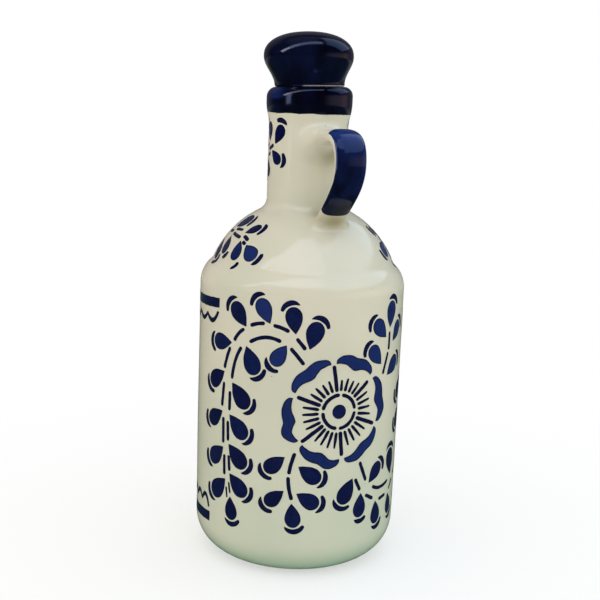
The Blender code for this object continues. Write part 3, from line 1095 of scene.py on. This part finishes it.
def sectionAt(run, degrees, proud=0.0):
    # plain point of the strap in mm and the way out of its side there
    s = strap
    i, share = stepAt(strapRun, run)
    middle = centreLine[i - 1].lerp(centreLine[i], share)
    ahead = (centreLine[min(i + 1, len(centreLine) - 1)] - centreLine[max(i - 2, 0)]).normalized()
    outer = Vector((-ahead.y, ahead.x))  # away from the bottle
    flare = min(1.0, run / strapRun[len(strapRun) // 2])
    ease = flare * flare * (3 - 2 * flare)
    taper = clamp(2 * run / strapRun[-1] - 1)
    grow = (s["neckWidth"] / s["width"] * (1 - ease) + ease) * (1 + (s["footWidth"] / s["width"] - 1) * taper)
    angle, power = math.radians(degrees), 2 / s["squareness"]
    cos, sin = math.cos(angle), math.sin(angle)
    across = math.copysign(abs(cos) ** power, cos) * (s["width"] / 2 * grow + proud)
    through = math.copysign(abs(sin) ** power, sin) * (s["thick"] / 2 * grow + proud)
    flat = middle + outer * through
    sideways = Vector((cos * s["thick"], -outer.x * sin * s["width"], outer.y * sin * s["width"]))
    return Vector((across, -flat.x, flat.y)), sideways


def strapPoint(run, degrees, proud=0.0):
    # clay is smoothed outwards where the strap meets the wall
    point, sideways = sectionAt(run, degrees, proud)
    fillet = strap["neckFillet"] if run < strapRun[-1] / 2 else strap["shoulderFillet"]
    rise, wallOut = overSkin(point)
    if rise < fillet:
        sunk = max(rise + strap["lap"], 0.0)
        push = fillet - math.sqrt(max(0.0, fillet ** 2 - (fillet - sunk) ** 2))
        point += (sideways - wallOut * sideways.dot(wallOut)).normalized() * push
        for _ in range(2):
            now, wallOut = overSkin(point)
            point += wallOut * (rise - now)
    return point * mm


def runWhere(rise, fromNeck):
    # run along the strap where its middle line stands this far over the wall
    order = range(len(centreLine)) if fromNeck else range(len(centreLine) - 1, -1, -1)
    for i in order:
        if overSkin(Vector((0, -centreLine[i].x, centreLine[i].y)))[0] >= rise:
            return strapRun[i]
    return 0.0


def rootRuns(degrees, fromNeck, fillet):
    # runs along one side of the strap, from inside the wall to the end of the smoothing, close together
    # where it lies flat
    runs = [strap["probeStep"] * i for i in range(strap["probes"])]
    if not fromNeck:
        runs = [strapRun[-1] - run for run in runs]
    rises = [overSkin(sectionAt(run, degrees)[0])[0] for run in runs]
    arcs = [math.pi / 2 * i / (strap["rootRings"] - 2) for i in range(strap["rootRings"] - 1)]
    found = []
    for rise in [-strap["sunk"]] + [fillet * (1 - math.cos(arc)) - strap["lap"] for arc in arcs]:
        i = next((i for i, value in enumerate(rises) if value >= rise), len(rises) - 1)
        share = (rise - rises[i - 1]) / (rises[i] - rises[i - 1]) if i else 1.0
        found.append(runs[i - 1] + (runs[i] - runs[i - 1]) * min(1.0, share) if i else runs[0])
    return found


def sideRuns(degrees):
    near = rootRuns(degrees, True, strap["neckFillet"])
    far = rootRuns(degrees, False, strap["shoulderFillet"])[::-1]
    more = strap["rings"] + 2 - len(near) - len(far)
    return near + [near[-1] + (far[0] - near[-1]) * (i + 1) / (more + 1) for i in range(more)] + far


def makeHandle():
    s = strap
    tube = bmesh.new()
    bmesh.ops.create_cone(tube, cap_ends=True, segments=s["sides"], radius1=1, radius2=1, depth=1)
    posts = [edge for edge in tube.edges if abs(edge.verts[0].co.z - edge.verts[1].co.z) > 0.5]
    bmesh.ops.subdivide_edges(tube, edges=posts, cuts=s["rings"], use_grid_fill=True)
    paintedShade = tube.verts.layers.float.new("paintedShade")
    sides = {}
    for vert in tube.verts:
        degrees = round(math.degrees(math.atan2(vert.co.y, vert.co.x)), 3)
        if degrees not in sides:
            sides[degrees] = sideRuns(degrees)
        ring = round((vert.co.z + 0.5) * (s["rings"] + 1))
        vert.co = strapPoint(sides[degrees][ring], degrees)
        # painted shade where the strap meets the wall
        vert[paintedShade] = paintedShadeAt(vert.co)
    bmesh.ops.recalc_face_normals(tube, faces=tube.faces)
    keepPiece("strap_handle", tube, whiteLook, "bottle", "white_glaze", "handle")

    b = strapBlue
    sheet = startPaint()
    grid = bmesh.ops.create_grid(sheet, x_segments=b["along"], y_segments=b["around"], size=1.0)
    top, foot = runWhere(b["top"], True), runWhere(b["foot"], False)
    long, wide = b["mapSize"]
    marks = {}
    for vert in grid["verts"]:
        share, side = (vert.co.x + 1) / 2, vert.co.y
        blend = min(1.0, share / b["settled"])
        wobble = noise.noise(Vector((share * 6, math.copysign(2, side), 7)))
        edge = b["edges"][0] * (1 - blend) + b["edges"][1] * blend + b["wander"] * wobble
        bow = b["bow"] * (side ** 2)
        run = top + bow + (foot - top - 2 * bow) * share
        marks[vert] = (share * long, wide * (1 - abs(side)))
        vert.co = strapPoint(run, 90 - side * (90 - edge), brushWork["proud"])

    # painted reflection paler at the strap's top, painted shade at its foot
    def palenessOf(face):
        share = marks[face.verts[0]][0] / long
        return b["paleness"] - b["darkensDown"] * share - b["dimsBy"] * max(0.0, share - b["dimsFrom"])

    markPaint(sheet, sheet.faces, marks, palenessOf)
    finishPaint("strap_blue", sheet, solidLook)


makeHandle()

# stopper, in mm from the mouth
knob = {
    "seat": 1.1, "seatRadius": 15.4, "widest": 19.7, "bulge": 14.0, "height": 24.6, "crownPower": 2.25,
    "socketRadius": 12.3, "socketTop": 12.3, "edgeRound": 0.7,
    "lean": 2.1,  # degrees, to sit square on the tipped lip
    # mm and degrees round the foot where a pale line is painted on as a painted highlight, and over how far
    # it fades
    "glintHeight": 0.3, "glintFrom": -62.0, "glintTo": 160.0, "glintFade": 0.3, "sideFade": 30,
    "slump": 0.03, "aside": 0.2,  # a hand-shaped knob, out of true to the left
    "turns": 160, "crownSteps": 36, "waistSteps": 26,
}
cork = {
    "head": 12.0, "plug": 22.0, "radius": 11.7, "tip": 10.6, "chamfer": 1.0, "turns": 96,
    "pit": 0.18, "pitSizes": (1.6, 0.7),
}


def setInMouth(mesh):
    for vert in mesh.verts:
        vert.co -= viewRight * (knob["slump"] * max(0.0, vert.co.z) + knob["aside"] * mm)
    tilt = Matrix.Rotation(math.radians(knob["lean"]), 3, viewBack)
    bmesh.ops.rotate(mesh, verts=mesh.verts, cent=up * vessel["mouthRaise"] * mm, matrix=tilt)
    bmesh.ops.translate(mesh, verts=mesh.verts, vec=up * vessel["mouth"] * mm)


def makeStopper():
    k, c = knob, cork
    wire = startWire(0, k["height"])
    for i in range(1, k["crownSteps"] + 1):
        angle, power = math.pi / 2 * i / k["crownSteps"], 2 / k["crownPower"]
        rise = (k["height"] - k["bulge"]) * max(0.0, math.cos(angle)) ** power
        lineTo(wire, k["widest"] * math.sin(angle) ** power, k["bulge"] + rise)
    foot = k["seat"] + k["edgeRound"]
    for i in range(1, k["waistSteps"] + 1):
        ease = (1 + math.cos(math.pi * i / k["waistSteps"])) / 2
        waist = k["seatRadius"] + (k["widest"] - k["seatRadius"]) * ease
        lineTo(wire, waist, k["bulge"] + (foot - k["bulge"]) * i / k["waistSteps"])
    arcTo(wire, (k["seatRadius"] - k["edgeRound"], foot), -90, 6)
    lineTo(wire, k["socketRadius"], k["seat"], 2)
    lineTo(wire, k["socketRadius"], k["socketTop"], 2)
    lineTo(wire, 0, k["socketTop"], 2)
    turnOnWheel(wire, k["turns"])
    # painted highlight: a pale line round the knob's foot
    palenessLayer = wire.verts.layers.float.new("paleness")
    for vert in wire.verts:
        side = math.degrees(math.atan2(vert.co.x, -vert.co.y))
        rise = vert.co.z / mm - k["seat"]
        kept = clamp((k["glintHeight"] + k["glintFade"] - rise) / k["glintFade"])
        fade = clamp(min(side - k["glintFrom"], k["glintTo"] - side) / k["sideFade"])
        vert[palenessLayer] = 2.0 * kept * fade
    setInMouth(wire)
    keepPiece("knob", wire, solidLook, "stopper", "cobalt_glaze", "stopper_knob")

    wire = startWire(0, c["head"])
    lineTo(wire, c["radius"], c["head"], 4)
    lineTo(wire, c["radius"], 0, 10)
    lineTo(wire, c["tip"], c["chamfer"] - c["plug"], 16)
    lineTo(wire, c["tip"] - c["chamfer"], -c["plug"], 2)
    lineTo(wire, 0, -c["plug"], 6)
    turnOnWheel(wire, c["turns"])
    coarse, fine = c["pitSizes"]
    for vert in wire.verts:
        pit = noise.noise(vert.co / (coarse * mm)) + 0.5 * noise.noise(vert.co / (fine * mm))
        flat = Vector((vert.co.x, vert.co.y, 0))
        if flat.length > 0.002:
            vert.co -= flat.normalized() * c["pit"] * mm * max(0.0, pit)
    setInMouth(wire)
    keepPiece("cork_plug", wire, corkLook, "stopper", "cork", "stopper_cork")


makeStopper()
print("stopper made")

# studio
studio = {
    "floorReach": 3.0,  # metres
    "floorColour": "f2f1ee",
    "floorRough": 0.9,
    "lift": (0.05, 0.3, 0.55, 1.0),  # metres out over which the paper is lifted to white, and how far
    "ambient": (0.56, 1.14),  # at the horizon and overhead
    "overhead": 0.9,
    "ambientColour": "fffaf0",
}
# bright sky over the lens and to its right, with a low strip at its left end: each part's degrees round from
# the lens and up, how its two sides lean, and its strength
skyWindow = {
    "parts": [
        (-71, -63, 16, 46, (0.75, 0.75), 2.4), (-52, 32, 35, 77, (0.7, 0), 1.85),
        (32, 118, 24, 79, (0, 0), 1.2), (118, 150, 24, 79, (0, 0), 1.5),
    ],
    "reach": 1.2, "height": 0.16, "colour": "d4e8ff",
    # a small bright card beside the neck: degrees, half width, metres away, from, to, strength
    "card": (-52, 3.5, 0.26, 0.148, 0.186, 1.0),
}
# surroundings that only the glaze sees: dark, so that deep blue stays deep, with a dim bright side and a pale
# back; the pairs are metres of height, or towards that side, over which a tone comes in
flags = {
    "reach": 2.2, "dark": "101114", "zenith": "66666c", "zenithFrom": (2.6, 4.4),
    "ground": "2c3e39", "groundBehind": "8f928b", "groundTurn": (0.35, 1.1), "floorLine": 0.02,
    "horizon": "dcb8a6", "horizonSide": 85, "horizonTop": (1.0, 0.3), "horizonTurn": (1.35, 2.15),
    "back": "606068", "backTop": (3.0, 1.8), "backTurn": (0.6, 1.6),
}
# strips of sky for the dark blue glaze, which the knob and the lip show instead of the window and the strap
# besides it: from and to, each as degrees round from the lens and up, degrees wide, strength, colour and the
# pieces that show it
skyStrips = {
    "stripLeft": ((-73, 12), (-57, 37), 10, 6.5, "fff1de", ["knob", "lip_band"]),
    "stripRising": ((-57, 37), (-43, 60), 13, 3.0, "fbf4ee", ["knob", "lip_band"]),
    "stripTop": ((-43, 60), (80, 70), 15, 2.0, "eaf0ff", ["knob", "lip_band"]),
    "stripLow": ((-57, -5), (-57, 24), 13, 2.8, "e8eeff", ["lip_band"]),
    "stripSide": ((-84, -10), (-84, 34), 52, 3.5, "e8eeff", ["strap_blue"]),
    "skyRight": ((87, 40), (149, 40), 44, 0.85, "bcd6ff", ["knob", "lip_band"]),
}
stripReach, stripHub = 1.1, 0.2  # metres from the point that they face, and its height
# soft lamps that light the clay but don't show in the glaze: degrees from the lens and up, metres away and
# across, watts, colour
lamps = {
    "leftFill": (-58, 24, 1.1, 1.0, 1.8, "fff6e6"),
    "frontFill": (2, 36, 0.6, 0.5, 0.62, "fff3e0"),
    "gardenBounce": (80, -2, 0.7, 0.5, 1.35, "dcecdc"),
}
lampHub = 0.19  # metres


def aimed(side, rise):
    side, rise = math.radians(side), math.radians(rise)
    return (viewBack * math.cos(side) + viewRight * math.sin(side)) * math.cos(rise) + up * math.sin(rise)


def stageObject(name, mesh, material):
    data = bpy.data.meshes.new(name)
    mesh.to_mesh(data)
    mesh.free()
    data.materials.append(material)
    thing = bpy.data.objects.new(name, data)
    scene.collection.objects.link(thing)
    return thing


def seenDirectly(tree):
    path = addNode(tree, "ShaderNodeLightPath").outputs
    seen = maths(tree, "MAXIMUM", path["Is Camera Ray"], path["Is Glossy Ray"])
    return maths(tree, "MAXIMUM", seen, path["Is Transmission Ray"])


def glowMaterial(name):
    material, tree = newMaterial(name)
    tree.nodes.clear()
    glow = addNode(tree, "ShaderNodeEmission")
    addNode(tree, "ShaderNodeOutputMaterial", {"Surface": glow.outputs[0]})
    return material, tree, glow


def linkedPieces(name, pieces, state):
    group = bpy.data.collections.new(name)
    for piece in pieces:
        group.objects.link(bpy.data.objects[piece])
    for row in group.collection_objects:
        row.light_linking.link_state = state
    return group


def layFloor():
    paper, tree = newMaterial("whitePaperSweep")
    shader, out = tree.nodes["Principled BSDF"], tree.nodes["Material Output"]
    shader.inputs["Base Color"].default_value = toLinear(studio["floorColour"])
    shader.inputs["Roughness"].default_value = studio["floorRough"]
    far = addNode(tree, "ShaderNodeVectorMath", {0: placeOf(tree)}, operation="LENGTH").outputs["Value"]
    lift = maths(tree, "MULTIPLY", spread(tree, far, *studio["lift"]), seenDirectly(tree))
    white = addNode(tree, "ShaderNodeEmission", {"Color": (1, 1, 1, 1), "Strength": 1.0})
    both = addNode(tree, "ShaderNodeMixShader", {0: lift, 1: shader.outputs[0], 2: white.outputs[0]})
    tree.links.new(both.outputs[0], out.inputs["Surface"])
    mesh = bmesh.new()
    bmesh.ops.create_circle(mesh, cap_ends=True, segments=64, radius=studio["floorReach"])
    stageObject("studioFloor", mesh, paper)


def hangWindow():
    w = skyWindow
    sky, tree, glow = glowMaterial("paleSky")
    glow.inputs["Color"].default_value = toLinear(w["colour"])
    tree.links.new(painted(tree, "glow"), glow.inputs["Strength"])
    mesh = bmesh.new()
    glowLayer = mesh.faces.layers.float.new("glow")
    hub = up * w["height"]
    for start, end, low, high, (leftLean, rightLean), strength in w["parts"]:
        hinge, climb, sweep = aimed(start, 0).cross(up), math.radians(high - low), math.radians(end - start)
        foot = mesh.verts.new(hub + aimed(start, low) * w["reach"])
        bmesh.ops.spin(mesh, geom=[foot], cent=hub, axis=hinge, angle=climb, steps=8)
        loose = [vert for vert in mesh.verts if not vert.link_faces]
        loose += [line for line in mesh.edges if not line.link_faces]
        steps = max(2, int((end - start) / 6))
        bmesh.ops.spin(mesh, geom=loose, cent=hub, axis=up, angle=sweep, steps=steps)
        made = [face for face in mesh.faces if not face[glowLayer]]
        for face in made:
            face[glowLayer] = strength
        for vert in {vert for face in made for vert in face.verts}:
            arm = vert.co - hub
            rise = math.degrees(math.asin(arm.z / w["reach"])) - low
            turned = math.degrees(math.atan2(arm.dot(viewRight), arm.dot(viewBack)))
            lean = leftLean + (rightLean - leftLean) * (turned - start) / (end - start)
            vert.co = hub + Matrix.Rotation(math.radians(lean * rise), 3, up) @ arm
    side, half, away, low, high, strength = w["card"]
    corner, sweep = mesh.verts.new(up * low + away * aimed(side - half, 0)), math.radians(2 * half)
    bmesh.ops.spin(mesh, geom=[corner], cent=(0, 0, 0), axis=up, angle=sweep, steps=4)
    wires = [line for line in mesh.edges if not line.link_faces]
    grown = bmesh.ops.extrude_edge_only(mesh, edges=wires)["geom"]
    tops = [thing for thing in grown if isinstance(thing, bmesh.types.BMVert)]
    bmesh.ops.translate(mesh, verts=tops, vec=up * (high - low))
    for face in mesh.faces:
        face[glowLayer] = face[glowLayer] or strength
    window = stageObject("skyWindow", mesh, sky)
    window.visible_camera = False
    # the window shows in every glaze but the knob's and the lip's
    window.light_linking.receiver_collection = linkedPieces("allButBlueTop", ["knob", "lip_band"], "EXCLUDE")


def hangSurroundings():
    f = flags
    felt, tree, glow = glowMaterial("darkSurroundings")
    place = placeOf(tree)
    height = heightOf(tree, place)

    def towards(way):
        sockets = {0: place, 1: way}
        return addNode(tree, "ShaderNodeVectorMath", sockets, operation="DOT_PRODUCT").outputs["Value"]

    def both(first, second):
        return maths(tree, "MULTIPLY", first, second)

    colour = blendColour(tree, spread(tree, height, *f["zenithFrom"]), f["dark"], f["zenith"])
    bright, behind = towards(aimed(f["horizonSide"], 0)), towards(-viewBack)
    band = both(spread(tree, height, *f["horizonTop"]), spread(tree, height, 0.0, f["floorLine"]))
    band = both(band, spread(tree, bright, *f["horizonTurn"]))
    colour = blendColour(tree, band, colour, f["horizon"])
    paleBack = both(spread(tree, behind, *f["backTurn"]), spread(tree, height, *f["backTop"]))
    colour = blendColour(tree, paleBack, colour, f["back"])
    ground = blendColour(tree, spread(tree, behind, *f["groundTurn"]), f["ground"], f["groundBehind"])
    colour = blendColour(tree, spread(tree, height, f["floorLine"], 0.0), colour, ground)
    tree.links.new(colour, glow.inputs["Color"])
    mesh = bmesh.new()
    size = {"radius1": f["reach"], "radius2": f["reach"], "depth": 2 * f["reach"]}
    bmesh.ops.create_cone(mesh, cap_ends=True, segments=48, **size)
    bmesh.ops.translate(mesh, verts=mesh.verts, vec=up * (f["reach"] + 0.0002))
    around = stageObject("darkSurroundings", mesh, felt)
    around.visible_camera = around.visible_diffuse = False
    around.visible_shadow = around.visible_transmission = False


def areaLamp(name, colour, size, watts):
    lamp = bpy.data.lights.new(name, "AREA")
    lamp.size = size
    lamp.energy = watts
    lamp.color = toLinear(colour)[:3]
    box = bpy.data.objects.new(name, lamp)
    scene.collection.objects.link(box)
    return box


def hangStrips():
    for name, (start, end, degrees, strength, colour, pieces) in skyStrips.items():
        first, last = aimed(*start), aimed(*end)
        along, out = (last - first).normalized(), (last + first).normalized()
        long, wide = stripReach * (last - first).length, stripReach * math.radians(degrees)
        strip = areaLamp(name, colour, long, 4 * strength * long * wide)
        strip.data.shape = "RECTANGLE"
        strip.data.size_y = wide
        strip.location = up * stripHub + (first + last) * stripReach / 2
        strip.rotation_euler = Matrix((along, out.cross(along), out)).transposed().to_euler()
        strip.visible_camera = strip.visible_diffuse = False
        strip.light_linking.receiver_collection = linkedPieces(name, pieces, "INCLUDE")


def lightRoom():
    world = bpy.data.worlds.new("softRoom")
    scene.world = world
    world.use_nodes = True
    tree = world.node_tree
    tree.nodes.clear()
    rise = heightOf(tree, addNode(tree, "ShaderNodeTexCoord").outputs["Generated"])
    strength = spread(tree, rise, 0.0, studio["overhead"], *studio["ambient"])
    sockets = {"Color": toLinear(studio["ambientColour"]), "Strength": strength}
    ambient = addNode(tree, "ShaderNodeBackground", sockets).outputs[0]
    backdrop = addNode(tree, "ShaderNodeBackground", {"Color": (1, 1, 1, 1), "Strength": 1.0}).outputs[0]
    both = addNode(tree, "ShaderNodeMixShader", {0: seenDirectly(tree), 1: ambient, 2: backdrop})
    addNode(tree, "ShaderNodeOutputWorld", {"Surface": both.outputs[0]})


def hangLamps():
    for name, (side, rise, distance, size, watts, colour) in lamps.items():
        box = areaLamp(name, colour, size, watts)
        away = aimed(side, rise)
        box.location = up * lampHub + away * distance
        box.rotation_euler = away.to_track_quat("Z", "Y").to_euler()
        box.visible_glossy = False


layFloor()
hangWindow()
hangSurroundings()
hangStrips()
lightRoom()
hangLamps()
print("studio lit")
